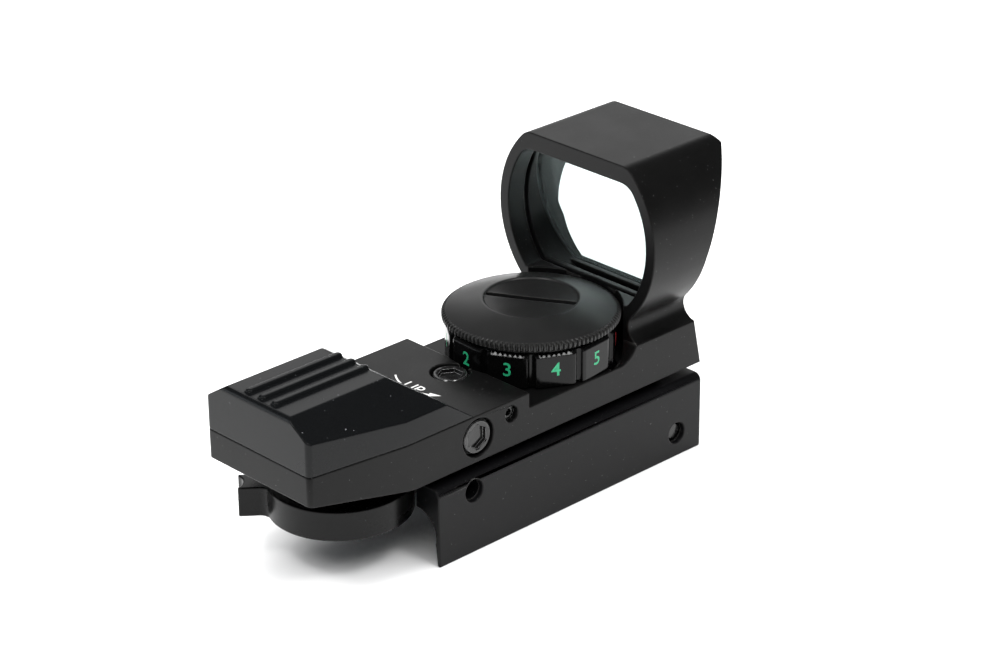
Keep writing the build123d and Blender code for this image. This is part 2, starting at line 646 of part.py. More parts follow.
# ---------------------------------------------------------------- tilting mirror
YOKE_Y = -35.6
PIVOT_Y = -33.0
PIVOT_Z = 17.3
YOKE_TOP = 15.9
ARM_HALF = 2.85            # half the width of the arm that the windage screw pushes
with BuildPart() as windage_yoke:
    with BuildSketch(Plane.XY.offset(YOKE_TOP - 0.8)):
        with Locations((0, -30.6)):
            Rectangle(14.8, 12.8)
        with Locations((0, -28.8)):
            Rectangle(12.4, 6.8, mode=Mode.SUBTRACT)
        with Locations((0, YOKE_Y)):
            Circle(0.85, mode=Mode.SUBTRACT)
    extrude(amount=0.8)
    block(-ARM_HALF, ARM_HALF, -25.4, -23.6, 12.4, YOKE_TOP)
    block(-ARM_HALF, ARM_HALF, -24.0, -17.8, 12.4, 14.3)
    for side in (-1, 1):
        ear = side * 6.8
        block(ear - 0.6, ear + 0.6, PIVOT_Y - 1.3, PIVOT_Y + 1.3, YOKE_TOP, 18.6)
    hole_x(0.6, PIVOT_Y, PIVOT_Z, -8, 8)
windage_yoke.part.label = "windage_yoke"
export_step(windage_yoke.part, "parts/windage_yoke.step")

with BuildPart() as yoke_pivot:
    rod_z(0.8, 0, YOKE_Y, YOKE_TOP - 0.95, RIDGE_Z - COVER_WALL)
    rod_z(1.6, 0, YOKE_Y, RIDGE_Z - COVER_WALL - 0.8, RIDGE_Z - COVER_WALL)
yoke_pivot.part.label = "yoke_pivot"
export_step(yoke_pivot.part, "parts/yoke_pivot.step")

with BuildPart() as carriage_pin:
    rod_x(0.6, PIVOT_Y, PIVOT_Z, -7.4, 7.4)
carriage_pin.part.label = "carriage_pin"
export_step(carriage_pin.part, "parts/carriage_pin.step")

MIRROR_TILT = radians(36.5)
mirror_plane = Plane(
    origin=(0, RETICLE_Y, 17.6),
    x_dir=(1, 0, 0),
    z_dir=(0, cos(MIRROR_TILT), -sin(MIRROR_TILT)),
)
with BuildPart() as mirror_carriage:
    with BuildSketch(mirror_plane.offset(-2.0)):
        Rectangle(8.0, 5.0)
    extrude(amount=1.0)
    rod_x(1.2, PIVOT_Y, PIVOT_Z, -6.0, 6.0)
    block(-3.0, 3.0, PIVOT_Y, -30.8, 16.6, 18.2)
    block(-5.6, -4.0, PIVOT_Y, -25.9, 16.4, 17.8)
    with BuildSketch(mirror_plane.offset(-1.0)) as face:
        Rectangle(8.0, 9.0)
    extrude(amount=3.5, mode=Mode.SUBTRACT)
    block(-5.6, -4.0, -27.5, -25.9, 10.9, 17.8)
    block(-5.6, -4.0, -27.5, -11.2, 10.9, 12.0)
    block(-5.6, 2.0, -14.6, -11.2, 10.9, 12.0)
    hole_x(0.6 + GAP, PIVOT_Y, PIVOT_Z, -8, 8)
mirror_carriage.part.label = "mirror_carriage"
export_step(mirror_carriage.part, "parts/mirror_carriage.step")

with BuildPart() as mirror_plate:
    with BuildSketch(mirror_plane.offset(-1.0)):
        Rectangle(7.0, 5.2)
    extrude(amount=1.0)
mirror_plate.part.label = "mirror_plate"
export_step(mirror_plate.part, "parts/mirror_plate.step")

# ---------------------------------------------------------------- adjusters
with BuildPart() as elevation_screw:
    rod_z(1.5, 0, ELEVATION_Y, 12.45, 15.4)
    rod_z(ADJUSTER_HEAD, 0, ELEVATION_Y, 16.4 - HEAD_HEIGHT, 16.4)
    chamfer(elevation_screw.edges().group_by(Axis.Z)[-1], 0.25)
    with BuildSketch(Plane(origin=(0, ELEVATION_Y, 16.4))):
        RegularPolygon(SOCKET_RADIUS, 6)
    extrude(amount=-SOCKET_DEPTH, mode=Mode.SUBTRACT)
elevation_screw.part.label = "elevation_screw"
export_step(elevation_screw.part, "parts/elevation_screw.step")

screw_face = Plane(
    origin=(HALF_WIDTH - 0.2, WINDAGE_Y, WINDAGE_Z), x_dir=(0, 1, 0), z_dir=(1, 0, 0)
)
with BuildPart() as windage_screw:
    rod_x(1.75, WINDAGE_Y, WINDAGE_Z, ARM_HALF + 0.35, 12.9)
    with BuildSketch(screw_face):
        Circle(ADJUSTER_HEAD)
    extrude(amount=-HEAD_HEIGHT)
    chamfer(windage_screw.edges().group_by(Axis.X)[-1], 0.25)
    with BuildSketch(screw_face):
        RegularPolygon(SOCKET_RADIUS, 6)
    extrude(amount=-SOCKET_DEPTH, mode=Mode.SUBTRACT)
windage_screw.part.label = "windage_screw"
export_step(windage_screw.part, "parts/windage_screw.step")

with BuildPart() as elevation_lock_screw:
    rod_x(1.0, LOCK_Y, LOCK_Z, 1.6, 13.2)
    rod_x(LOCK_HEAD, LOCK_Y, LOCK_Z, LOCK_STEP + GAP, 13.2)
    with BuildSketch(
        Plane(origin=(13.2, LOCK_Y, LOCK_Z), x_dir=(0, 1, 0), z_dir=(1, 0, 0))
    ):
        RegularPolygon(0.7, 6)
    extrude(amount=-1.2, mode=Mode.SUBTRACT)
elevation_lock_screw.part.label = "elevation_lock_screw"
export_step(elevation_lock_screw.part, "parts/elevation_lock_screw.step")

windage_spring = spring(
    0.7, 0.15, 7.9, 9,
    Plane(origin=(-ARM_HALF - 8.5, WINDAGE_Y, WINDAGE_Z + 0.7), z_dir=(1, 0, 0)),
)
windage_spring.label = "windage_spring"
export_step(windage_spring, "parts/windage_spring.step")

elevation_spring = spring(1.0, 0.1, 0.7, 2, Plane(origin=(0, ELEVATION_Y, 9.62)))
elevation_spring.label = "elevation_spring"
export_step(elevation_spring, "parts/elevation_spring.step")

# ---------------------------------------------------------------- rail clamp
CHANNEL_HALF = RAIL_HALF + 0.15
CHANNEL_Z = -2.9           # level of the widest part of the rail
LIP_Z = CHANNEL_Z - 0.2 - (CHANNEL_HALF - JAW_LIP_HALF)
RELIEF_Y = -22.8           # the channel is opened out behind this, for the selector
with BuildPart() as mount_base:
    with BuildSketch(across(-MOUNT_LENGTH / 2)) as section:
        with BuildLine():
            Polyline(
                (-JAW_SPLIT, MOUNT_TOP),
                (-JAW_SPLIT, 0),
                (RAIL_TOP_HALF, 0),
                (CHANNEL_HALF, CHANNEL_Z),
                (CHANNEL_HALF, CHANNEL_Z - 0.2),
                (JAW_LIP_HALF, LIP_Z),
                (JAW_LIP_HALF, JAW_BOTTOM),
                (MOUNT_HALF, JAW_BOTTOM),
                (MOUNT_HALF, MOUNT_TOP),
                close=True,
            )
        make_face()
        fillet(section.vertices().sort_by(lambda v: v.X + v.Y)[-1], 1.3)
    extrude(amount=-MOUNT_LENGTH)
    # Riser that carries the housing, screwed down on it
    block(-9, 9, -20, 26, MOUNT_TOP, BOTTOM_Z)
    # Room for the selector and its tab
    with BuildSketch(across(-MOUNT_LENGTH / 2 - 1)):
        with BuildLine():
            Line((14.75, JAW_BOTTOM - 1), (14.2, -2.1))
            ThreePointArc((14.2, -2.1), (13.2, 1.7), (10.6, 2.95))
            Polyline(
                (10.6, 2.95), (-16, 2.95), (-16, JAW_BOTTOM - 1), (14.75, JAW_BOTTOM - 1)
            )
        make_face()
    extrude(amount=-(RELIEF_Y + MOUNT_LENGTH / 2 + 1), mode=Mode.SUBTRACT)
    rod_z(DRUM_RADIUS + 0.6, 0, SELECTOR_Y, -1, MOUNT_TOP + 1, Mode.SUBTRACT)
    # Bolt holes, tapped in the near jaw and clear in the plate
    for y, z in (REAR_BOLT, FRONT_BOLT):
        hole_x(BOLT_RADIUS + 0.1, y, z, -12, 16)
        hole_x(BOLT_RADIUS + 0.2, y, z, MOUNT_HALF - 0.9, 16)
    # Clearance over the front bolt, so that the rail's top meets only the seat
    bolt_y = FRONT_BOLT[0]
    block(-JAW_SPLIT, RAIL_TOP_HALF + 1, bolt_y - 2, bolt_y + 2, -0.5, 0.3, Mode.SUBTRACT)
    for y in MOUNT_SCREW_Y:
        rod_z(1.6, 0, y, -1, 10, Mode.SUBTRACT)
        rod_z(3.0, 0, y, -1, 3.6, Mode.SUBTRACT)
mount_base.part.label = "mount_base"
export_step(mount_base.part, "parts/mount_base.step")

with BuildPart() as clamp_jaw:
    with BuildSketch(across(-MOUNT_LENGTH / 2)) as jaw_section:
        with BuildLine():
            jaw_top = JAW_SPLIT + 0.2
            Polyline(
                (-jaw_top, MOUNT_TOP),
                (-jaw_top, CHANNEL_Z - 0.2 + (CHANNEL_HALF - jaw_top)),
                (-JAW_LIP_HALF, LIP_Z),
                (-JAW_LIP_HALF, JAW_BOTTOM),
                (-MOUNT_HALF, JAW_BOTTOM),
                (-MOUNT_HALF, MOUNT_TOP),
                close=True,
            )
        make_face()
        fillet(jaw_section.vertices().sort_by(lambda v: v.Y - v.X)[-1], 1.3)
    extrude(amount=-MOUNT_LENGTH)
    block(-13.4, -8, -MOUNT_LENGTH / 2 - 1, RELIEF_Y, JAW_BOTTOM - 1, 2.95, Mode.SUBTRACT)
    rod_z(DRUM_RADIUS + 0.6, 0, SELECTOR_Y, -1, MOUNT_TOP + 1, Mode.SUBTRACT)
    for y, z in (REAR_BOLT, FRONT_BOLT):
        hole_x(BOLT_RADIUS + 0.1, y, z, -16, -8)
        hole_x(BOLT_HEAD_RADIUS + 0.15, y, z, -16, 1.2 - MOUNT_HALF)
clamp_jaw.part.label = "clamp_jaw"
export_step(clamp_jaw.part, "parts/clamp_jaw.step")

for name, (y, z), tip in (
    ("clamp_bolt_rear", REAR_BOLT, 9.5),
    ("clamp_bolt_front", FRONT_BOLT, MOUNT_HALF - 1.0),
):
    with BuildPart() as clamp_bolt:
        rod_x(BOLT_RADIUS, y, z, 1.2 - MOUNT_HALF - 0.5, tip)
        rod_x(BOLT_HEAD_RADIUS, y, z, -MOUNT_HALF - 1.9, 1.2 - MOUNT_HALF - GAP)
        chamfer(clamp_bolt.edges().group_by(Axis.X)[0], 0.3)
        chamfer(clamp_bolt.edges().group_by(Axis.X)[-1], 0.4)
        with BuildSketch(
            Plane(origin=(-MOUNT_HALF - 1.9, y, z), x_dir=(0, 1, 0), z_dir=(-1, 0, 0))
        ):
            RegularPolygon(1.45, 6)
        extrude(amount=-1.7, mode=Mode.SUBTRACT)
    clamp_bolt.part.label = name
    export_step(clamp_bolt.part, f"parts/{name}.step")

with BuildPart() as mount_screws:
    for y in MOUNT_SCREW_Y:
        rod_z(1.55, 0, y, 3.0, 11.9)
        rod_z(2.8, 0, y, 0.8, 3.6)
        with BuildSketch(Plane(origin=(0, y, 0.8), z_dir=(0, 0, -1))) as socket:
            RegularPolygon(1.45, 6)
        extrude(socket.sketch, amount=-1.6, mode=Mode.SUBTRACT)
mount_screws.part.label = "mount_screws"
export_step(mount_screws.part, "parts/mount_screws.step")
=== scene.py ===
# %% [markdown]
# # A reflex sight, finished in Blender
#
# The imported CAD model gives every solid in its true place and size. This lesson gives
# those solids their looks: rounded edges, a toothed cap, a faceted dial with painted
# numbers, hard anodised aluminium, moulded plastic and glass. Lengths are in metres,
# +Z is up, +Y points forward through the lens and +X is the side with the windage screw.

# %% Load the frame
from math import cos, pi, radians, sin

import bmesh
import bpy
from mathutils import Matrix, Vector


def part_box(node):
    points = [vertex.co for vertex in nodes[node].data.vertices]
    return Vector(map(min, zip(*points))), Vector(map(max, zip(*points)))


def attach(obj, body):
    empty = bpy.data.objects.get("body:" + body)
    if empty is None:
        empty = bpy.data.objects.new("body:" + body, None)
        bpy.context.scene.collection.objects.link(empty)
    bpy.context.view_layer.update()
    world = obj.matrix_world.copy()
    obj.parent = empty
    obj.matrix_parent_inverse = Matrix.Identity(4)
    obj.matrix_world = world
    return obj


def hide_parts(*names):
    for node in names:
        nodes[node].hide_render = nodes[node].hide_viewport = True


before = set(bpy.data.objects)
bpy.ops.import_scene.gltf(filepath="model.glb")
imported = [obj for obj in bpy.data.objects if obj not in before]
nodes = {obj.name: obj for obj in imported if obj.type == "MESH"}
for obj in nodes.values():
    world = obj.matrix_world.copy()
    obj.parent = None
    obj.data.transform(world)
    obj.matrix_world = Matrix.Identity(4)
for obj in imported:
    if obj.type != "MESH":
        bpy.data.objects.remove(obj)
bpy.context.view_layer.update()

MM = 0.001

# %% [markdown]
# ## Camera
#
# A product shot is taken from well back through a long lens, so that parallel edges stay
# nearly parallel. The camera looks down on the sight from behind its right shoulder. A
# camera can be turned by Euler angles or by a track constraint. Here its three axes are
# worked out as vectors, because a slight roll then is one line of arithmetic.

# %% Camera
AZIMUTH, ELEVATION, ROLL = radians(46.29), radians(25.13), radians(-0.5)
LOOK_AT = Vector((0, -10.65, 19.2)) * MM
SIDE_STEP, UP_STEP, DISTANCE = 6.44 * MM, 3.2 * MM, 465.74 * MM

ahead = Vector((-sin(AZIMUTH) * cos(ELEVATION), cos(AZIMUTH) * cos(ELEVATION), -sin(ELEVATION)))
level = ahead.cross(Vector((0, 0, 1))).normalized()
upright = level.cross(ahead)
right = level * cos(ROLL) + upright * sin(ROLL)
up = upright * cos(ROLL) - level * sin(ROLL)

lens = bpy.data.cameras.new("studio_camera")
lens.lens = 107.16
lens.sensor_width = 36
lens.clip_start = 0.01
camera = bpy.data.objects.new("studio_camera", lens)
camera.matrix_world = Matrix((right, up, -ahead)).transposed().to_4x4()
camera.location = LOOK_AT + right * SIDE_STEP + up * UP_STEP - ahead * DISTANCE
bpy.context.collection.objects.link(camera)
bpy.context.scene.camera = camera
print("camera at", [round(v, 3) for v in camera.location])

# %% [markdown]
# ## Arithmetic on sockets
#
# Shader and geometry trees both do their sums with Math nodes, and a long sum is hard to
# read as a list of links. One small class wraps a socket and overloads Python's
# operators, so that a formula is written as a formula. Every other node comes from the
# same `node` method: its settings go on first, then the values or links of its sockets.

# %% A wire that can be added, multiplied and compared
class Wire:
    def __init__(self, tree, socket=None):
        self.tree, self.socket = tree, socket

    def node(self, kind, settings=None, inputs=None, output=0):
        made = self.tree.nodes.new(kind)
        for key, value in (settings or {}).items():
            setattr(made, key, value)
        for key, value in (inputs or {}).items():
            if isinstance(value, Wire):
                self.tree.links.new(value.socket, made.inputs[key])
            else:
                made.inputs[key].default_value = value
        return Wire(self.tree, made.outputs[output])

    def math(self, operation, *others):
        inputs = dict(enumerate((self, *others)))
        return self.node("ShaderNodeMath", {"operation": operation}, inputs)

    def __add__(self, other):
        return self.math("ADD", other)

    def __sub__(self, other):
        return self.math("SUBTRACT", other)

    def __rsub__(self, other):
        return self.node("ShaderNodeMath", {"operation": "SUBTRACT"}, {0: other, 1: self})

    def __mul__(self, other):
        return self.math("MULTIPLY", other)

    def __truediv__(self, other):
        return self.math("DIVIDE", other)

    def __rtruediv__(self, other):
        return self.node("ShaderNodeMath", {"operation": "DIVIDE"}, {0: other, 1: self})

    def __gt__(self, other):
        return self.math("GREATER_THAN", other)

    def __lt__(self, other):
        return self.math("LESS_THAN", other)

    __radd__ = __add__
    __rmul__ = __mul__


# %% [markdown]
# ## Finishes
#
# Most of this object is black, so its looks are all in how rough each surface is, how
# fine its grain is and what its edges do. Each finish starts from one Principled shader.
# Its fixed numbers sit on the shader itself. Only colour, roughness and the normal
# change over the surface.

# %% Start a finish
def colour(value):
    """Linear colour from three sRGB numbers from 0 to 255."""
    linear = [(v / 255 / 12.92) if v < 10 else ((v / 255 + 0.055) / 1.055) ** 2.4 for v in value]
    return (*linear, 1.0)


def start_finish(name, **fixed):
    """A new material, the wire to build its nodes with, and its Principled shader."""
    material = bpy.data.materials.new(name)
    material.use_nodes = True
    shader = material.node_tree.nodes["Principled BSDF"]
    for key, value in fixed.items():
        shader.inputs[key.replace("_", " ")].default_value = value
    return material, Wire(material.node_tree), shader


def plug(wire, shader, name):
    wire.tree.links.new(wire.socket, shader.inputs[name])


def blend_colours(wire, mask, low, high):
    """Mix of two colours, each a wire or a fixed colour, by a mask."""
    settings = {"data_type": "RGBA"}
    return wire.node("ShaderNodeMix", settings, {0: mask, 6: low, 7: high}, output=2)


def place(wire):
    return wire.node("ShaderNodeTexCoord", output=3)


def noise(wire, size, detail=2.0, roughness=0.5):
    """Noise whose blotches are about `size` metres across."""
    inputs = {"Vector": place(wire), "Scale": 1 / size, "Detail": detail, "Roughness": roughness}
    return wire.node("ShaderNodeTexNoise", {}, inputs)


# %% [markdown]
# ### Worn edges and painted edge highlights
#
# Anodising is thinnest on a corner, and handling polishes it there, so a real edge
# catches a thin light line. In the anodised and black oxide finishes the lighter edge
# colour is partly that wear and partly a painted highlight. The Bevel node gives the
# normal that a rounded corner would have. Where it differs from the true normal there is
# an edge, and that difference is the mask. Vertex colours could hold the same mask, but
# only on a dense mesh.

# %% Edge mask and rounded normal
def rounded_normal(wire, radius):
    return wire.node("ShaderNodeBevel", {"samples": 6}, {"Radius": radius})


def edge_mask(wire, radius, gain):
    """1 on convex and concave corners, fading to 0 over `radius` metres."""
    true_normal = wire.node("ShaderNodeNewGeometry", output=1)
    inputs = {0: rounded_normal(wire, radius), 1: true_normal}
    agreement = wire.node("ShaderNodeVectorMath", {"operation": "DOT_PRODUCT"}, inputs, output=1)
    return ((1.0 - agreement) * gain).math("MINIMUM", 1.0)


def bump(wire, height, depth, normal=None):
    """Bump of a given depth in metres over a wire with values from 0 to 1."""
    inputs = {"Height": height, "Distance": depth, "Strength": 1.0}
    if normal:
        inputs["Normal"] = normal
    return wire.node("ShaderNodeBump", {}, inputs)


# %% [markdown]
# ### Hard anodised aluminium
#
# The housing and the clamp are die cast, blasted with fine beads and anodised black.
# Three sizes of noise make it: pits a tenth of a millimetre across in the normal, wider
# patches in the roughness, and a slow drift in the colour. A few pale specks are dust.
# The edges turn bare alloy grey, partly from wear and partly as a painted highlight.

# %% Anodised aluminium
# Edge colour: bare alloy from wear, and a painted highlight as well.
ALLOY_EDGE_AND_HIGHLIGHT = colour((120, 119, 116))
DUST = colour((165, 165, 165))


def anodised(name, tone, roughness, grain, edge_wear_and_highlight, edge=0.00022):
    material, wire, shader = start_finish(name, IOR=1.25)
    patches = noise(wire, 0.006, detail=4)
    drift = blend_colours(wire, patches, colour(tone), colour([v * 1.22 + 2 for v in tone]))
    edges = edge_mask(wire, edge, 3.0) * (0.35 + patches * 0.9)
    # Edges lightened to alloy grey: partly wear, partly a painted highlight.
    base = blend_colours(wire, edges * edge_wear_and_highlight, drift, ALLOY_EDGE_AND_HIGHLIGHT)
    specks = noise(wire, 0.0003, detail=1) > 0.785
    base = blend_colours(wire, specks * 0.35, base, DUST)
    plug(base, shader, "Base Color")
    fine = noise(wire, 0.00016, detail=3, roughness=0.6)
    plug(roughness + (patches - 0.5) * 0.12 + (fine - 0.5) * 0.1 - edges * 0.1, shader, "Roughness")
    plug(bump(wire, fine, grain, rounded_normal(wire, edge)), shader, "Normal")
    return material


housing_finish = anodised("anodised_housing", (8, 8, 8), roughness=0.35, grain=9e-6, edge_wear_and_highlight=0.5)
clamp_finish = anodised("anodised_clamp", (8, 8, 9), roughness=0.33, grain=7e-6, edge_wear_and_highlight=0.55)
hood_liner = anodised("matt_black_bore", (12, 12, 12), roughness=0.7, grain=1e-5, edge_wear_and_highlight=0.1)

# %% [markdown]
# ### Moulded plastic
#
# The rear cover and the selector come from a mould with a spark-eroded face. It is finer
# and shinier than the casting. It wears to the same black, so its edges only get glossy.

# %% Moulded plastic
def moulded(name, tone, roughness, grain, dust=0.25, ior=1.28):
    material, wire, shader = start_finish(name, IOR=ior)
    clouds = noise(wire, 0.009, detail=3)
    base = blend_colours(wire, clouds, colour(tone), colour([v * 1.15 + 2 for v in tone]))
    specks = noise(wire, 0.0005, detail=1) > 0.8
    plug(blend_colours(wire, specks * dust, base, colour((170, 172, 176))), shader, "Base Color")
    fine = noise(wire, 0.00012, detail=2)
    edges = edge_mask(wire, 0.0003, 3.0)
    plug(roughness + (clouds - 0.5) * 0.1 - edges * 0.12, shader, "Roughness")
    plug(bump(wire, fine, grain, rounded_normal(wire, 0.0003)), shader, "Normal")
    return material


cover_finish = moulded("moulded_cover", (8, 9, 10), roughness=0.26, grain=5e-6)
selector_finish = moulded("moulded_selector", (6, 6, 6), roughness=0.28, grain=6e-6)
dial_finish = moulded("moulded_dial", (5, 5, 5), roughness=0.16, grain=3e-6, dust=0.1, ior=1.3)

# %% [markdown]
# ### Turned aluminium
#
# The battery cap is cut on a lathe, and the tool leaves rings finer than a hair. Their
# shine fans out from the middle. An anisotropic shader could fake that, but real rings
# in the bump keep the effect in every renderer. The rings count distance from the axis.

# %% Turned cap
DIAL_CENTRE = Vector((0, 5.3, 0)) * MM


def from_axis(wire, centre):
    """Distance from a vertical axis."""
    outputs = wire.node("ShaderNodeSeparateXYZ", {}, {0: place(wire)}).socket.node.outputs
    x, y = Wire(wire.tree, outputs[0]) - centre.x, Wire(wire.tree, outputs[1]) - centre.y
    return (x * x + y * y).math("SQRT")


def turned(name, tone, roughness, pitch, depth, centre):
    material, wire, shader = start_finish(name, IOR=1.42)
    radius = from_axis(wire, centre)
    wander = noise(wire, 0.004, detail=2)
    rings = ((radius + wander * 0.00004) * (2 * pi / pitch)).math("SINE") * 0.5 + 0.5
    edges = edge_mask(wire, 0.00018, 3.0)
    tint = blend_colours(wire, wander, colour(tone), colour([v * 1.2 + 2 for v in tone]))
    plug(blend_colours(wire, edges * 0.25, tint, colour((125, 124, 120))), shader, "Base Color")
    plug(roughness + rings * 0.06 + (wander - 0.5) * 0.08, shader, "Roughness")
    plug(bump(wire, rings, depth, rounded_normal(wire, 0.00012)), shader, "Normal")
    return material


cap_finish = turned(
    "turned_cap", (20, 20, 20), roughness=0.3, pitch=1.6e-4, depth=2.2e-6, centre=DIAL_CENTRE
)

# %% [markdown]
# ### Metals, glass, rubber and boards
#
# The small parts share a few short recipes. Bare metal is fully metallic with a brushed
# grain. Black oxide steel is oily and lets grey show on its edges, and that grey is also a
# painted highlight.

# %% Bare and blackened metal
def metal(name, tone, roughness, grain=0.000003):
    material, wire, shader = start_finish(name, Metallic=1.0)
    cloudy = noise(wire, 0.0012, detail=4)
    darker = colour([v * 0.8 for v in tone])
    plug(blend_colours(wire, cloudy, darker, colour(tone)), shader, "Base Color")
    plug(roughness + (cloudy - 0.5) * 0.18, shader, "Roughness")
    plug(bump(wire, noise(wire, 0.0001), grain), shader, "Normal")
    return material


def blackened(name, tone, roughness, rim):
    material, wire, shader = start_finish(name, IOR=1.6, Metallic=0.25)
    cloudy = noise(wire, 0.0008, detail=3)
    edges = edge_mask(wire, 0.00016, 3.5)
    tint = blend_colours(wire, cloudy, colour(tone), colour([v * 1.4 + 3 for v in tone]))
    # Grey on the edges: partly worn oxide, partly a painted highlight.
    plug(blend_colours(wire, edges * rim, tint, colour((150, 150, 150))), shader, "Base Color")
    plug(roughness + (cloudy - 0.5) * 0.15, shader, "Roughness")
    plug(bump(wire, cloudy, 0.000004, rounded_normal(wire, 0.0001)), shader, "Normal")
    return material


screw_finish = blackened("black_oxide_steel", (18, 18, 18), roughness=0.2, rim=0.9)
bright_finish = metal("bright_steel", (176, 176, 172), roughness=0.24)
spring_finish = metal("spring_steel", (150, 150, 148), roughness=0.2)
brass_finish = metal("contact_brass", (190, 152, 82), roughness=0.28)
cell_finish = metal("cell_can", (188, 190, 190), roughness=0.2)
carriage_finish = metal("carriage_zinc", (120, 121, 124), roughness=0.42)

# %% [markdown]
# ### Glass
#
# The lens throws the dot back to the eye, so its coating mirrors a little and passes the
# rest with a pale cyan tint. Both shares sit on one shader as constants.

# %% Glass
def glass(name, tint, rough=0.0, metallic=0.0, clear=1.0):
    """Glass. A coating adds a share of metal and a haze that passes no clear light."""
    material, wire, shader = start_finish(name, Transmission_Weight=clear, Metallic=metallic)
    film = noise(wire, 0.02, detail=1)
    paler = colour([min(255, v + 6) for v in tint])
    plug(blend_colours(wire, film, colour(tint), paler), shader, "Base Color")
    plug(rough + film * 0.015, shader, "Roughness")
    return material


lens_finish = glass("coated_lens", (236, 253, 251), metallic=0.05, clear=0.92)
window_finish = glass("smoked_window", (120, 118, 122), rough=0.06)
reticle_finish = glass("reticle_glass", (200, 205, 205), rough=0.02)

# %% [markdown]
# ### Rubber, boards, paint and wire
#
# What is left has an even grain and no metal, so one recipe with five values covers it.

# %% Rubber, boards, paint and wire
def plain_grain(name, tone, roughness, size, depth):
    """A dielectric with an even grain, for the small non-metal parts."""
    material, wire, shader = start_finish(name, IOR=1.48)
    cloudy = noise(wire, size * 12, detail=3)
    fine = noise(wire, size, detail=2)
    tint = blend_colours(wire, cloudy, colour([v * 0.84 for v in tone]), colour(tone))
    plug(tint, shader, "Base Color")
    plug(roughness + (fine - 0.5) * 0.14, shader, "Roughness")
    plug(bump(wire, fine, depth), shader, "Normal")
    return material


seal_finish = plain_grain("seal_rubber", (22, 22, 22), roughness=0.7, size=2e-4, depth=6e-6)
board_finish = plain_grain("board_green", (22, 92, 52), roughness=0.42, size=4e-4, depth=4e-6)
led_finish = plain_grain("led_body", (196, 40, 36), roughness=0.22, size=6e-4, depth=1e-6)
wire_finish = plain_grain("wire_cover", (176, 30, 28), roughness=0.4, size=3e-4, depth=2e-6)
white_paint = plain_grain("white_paint", (214, 214, 212), roughness=0.5, size=1.5e-4, depth=5e-6)
green_paint = plain_grain("green_paint", (44, 178, 124), roughness=0.45, size=1.2e-4, depth=4e-6)
red_paint = plain_grain("red_paint", (196, 46, 50), roughness=0.45, size=1.2e-4, depth=4e-6)
mirror_finish = metal("mirror_face", (214, 214, 216), roughness=0.04, grain=5e-7)
print(len(bpy.data.materials), "finishes")

# %% [markdown]
# ## Finishes onto the CAD solids
#
# A CAD solid whose shape is right stays, and only its material slots change.

# %% Dress every CAD node
finish_of = {
    housing_finish: ["main_housing"],
    cover_finish: ["rear_cover"],
    window_finish: ["cover_window"],
    lens_finish: ["objective_lens"],
    hood_liner: ["lens_retainer"],
    dial_finish: ["brightness_dial"],
    cap_finish: ["battery_cap"],
    seal_finish: ["cap_seal"],
    selector_finish: ["selector_drum"],
    clamp_finish: ["mount_base", "clamp_jaw"],
    screw_finish: [
        "cover_screws", "elevation_screw", "windage_screw", "elevation_lock_screw",
        "clamp_bolt_rear", "clamp_bolt_front", "mount_screws",
    ],
    bright_finish: [
        "selector_screw", "yoke_pivot", "carriage_pin", "dial_clip", "dial_detent_ball",
        "selector_detent_ball",
    ],
    spring_finish: [
        "dial_detent_spring", "selector_detent_spring", "windage_spring", "elevation_spring",
    ],
    brass_finish: ["dial_bush", "battery_contact", "wiper_contact"],
    board_finish: ["rheostat_board", "emitter_board"],
    led_finish: ["emitter_led"],
    wire_finish: ["lead_wires"],
    cell_finish: ["coin_cell"],
    reticle_finish: ["reticle_disc"],
    mirror_finish: ["mirror_plate"],
    carriage_finish: ["windage_yoke", "mirror_carriage"],
}
for finish, names in finish_of.items():
    for name in names:
        for slot in nodes[name].material_slots:
            slot.material = finish
dressed = sum(finish_of.values(), [])
print("dressed", len(dressed), "left", sorted(set(nodes) - set(dressed)))

# %% [markdown]
# ## Rounded edges
#
# CAD solids leave their edges razor sharp, and nothing real has such edges. A Bevel
# modifier rounds them, but it needs clean geometry first: the doubled points are merged
# and the flat triangles are joined into whole faces. The result is frozen into a plain
# mesh, which stands in for the CAD solid on the same body.

# %% A softened copy of a CAD solid
def link(name, mesh, body, slot_name, *materials):
    """Put a finished mesh on a body, with its finish."""
    for material in materials:
        mesh.materials.append(material)
    piece = bpy.data.objects.new(name, mesh)
    bpy.context.collection.objects.link(piece)
    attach(piece, body)
    return piece


def mesh_of(form, name):
    """A bmesh written to a new mesh and freed."""
    mesh = bpy.data.meshes.new(name)
    form.to_mesh(mesh)
    form.free()
    return mesh


def stand_up(name, data):
    """A work object for a modifier, linked to the scene."""
    shape = bpy.data.objects.new(name, data)
    bpy.context.collection.objects.link(shape)
    return shape


def thicken(form, height):
    """Give a flat bmesh a thickness upwards."""
    skin = bmesh.ops.extrude_face_region(form, geom=form.faces[:])["geom"]
    raised = [item for item in skin if isinstance(item, bmesh.types.BMVert)]
    bmesh.ops.translate(form, verts=raised, vec=(0, 0, height))
    bmesh.ops.recalc_face_normals(form, faces=form.faces)


def freeze(shape, name):
    """The evaluated shape as a plain mesh. The shape itself is then removed."""
    graph = bpy.context.evaluated_depsgraph_get()
    mesh = bpy.data.meshes.new_from_object(shape.evaluated_get(graph), depsgraph=graph)
    mesh.name = name
    bpy.data.objects.remove(shape)
    return mesh


def shade(mesh):
    """Smooth over curves and leave corners sharp."""
    mesh.shade_smooth()
    mesh.set_sharp_from_angle(angle=radians(24))


def clean_copy(node):
    """The CAD solid's surface with doubles merged and flat areas joined."""
    source = bmesh.new()
    source.from_mesh(nodes[node].data)
    bmesh.ops.remove_doubles(source, verts=source.verts, dist=1e-6)
    bmesh.ops.dissolve_limit(
        source, angle_limit=radians(0.6), verts=source.verts, edges=source.edges
    )
    points = [v.co.copy() for v in source.verts]
    faces = [[v.index for v in f.verts] for f in source.faces]
    source.free()
    mesh = bpy.data.meshes.new(node)
    mesh.from_pydata(points, [], faces)
    mesh.shade_smooth()
    return mesh


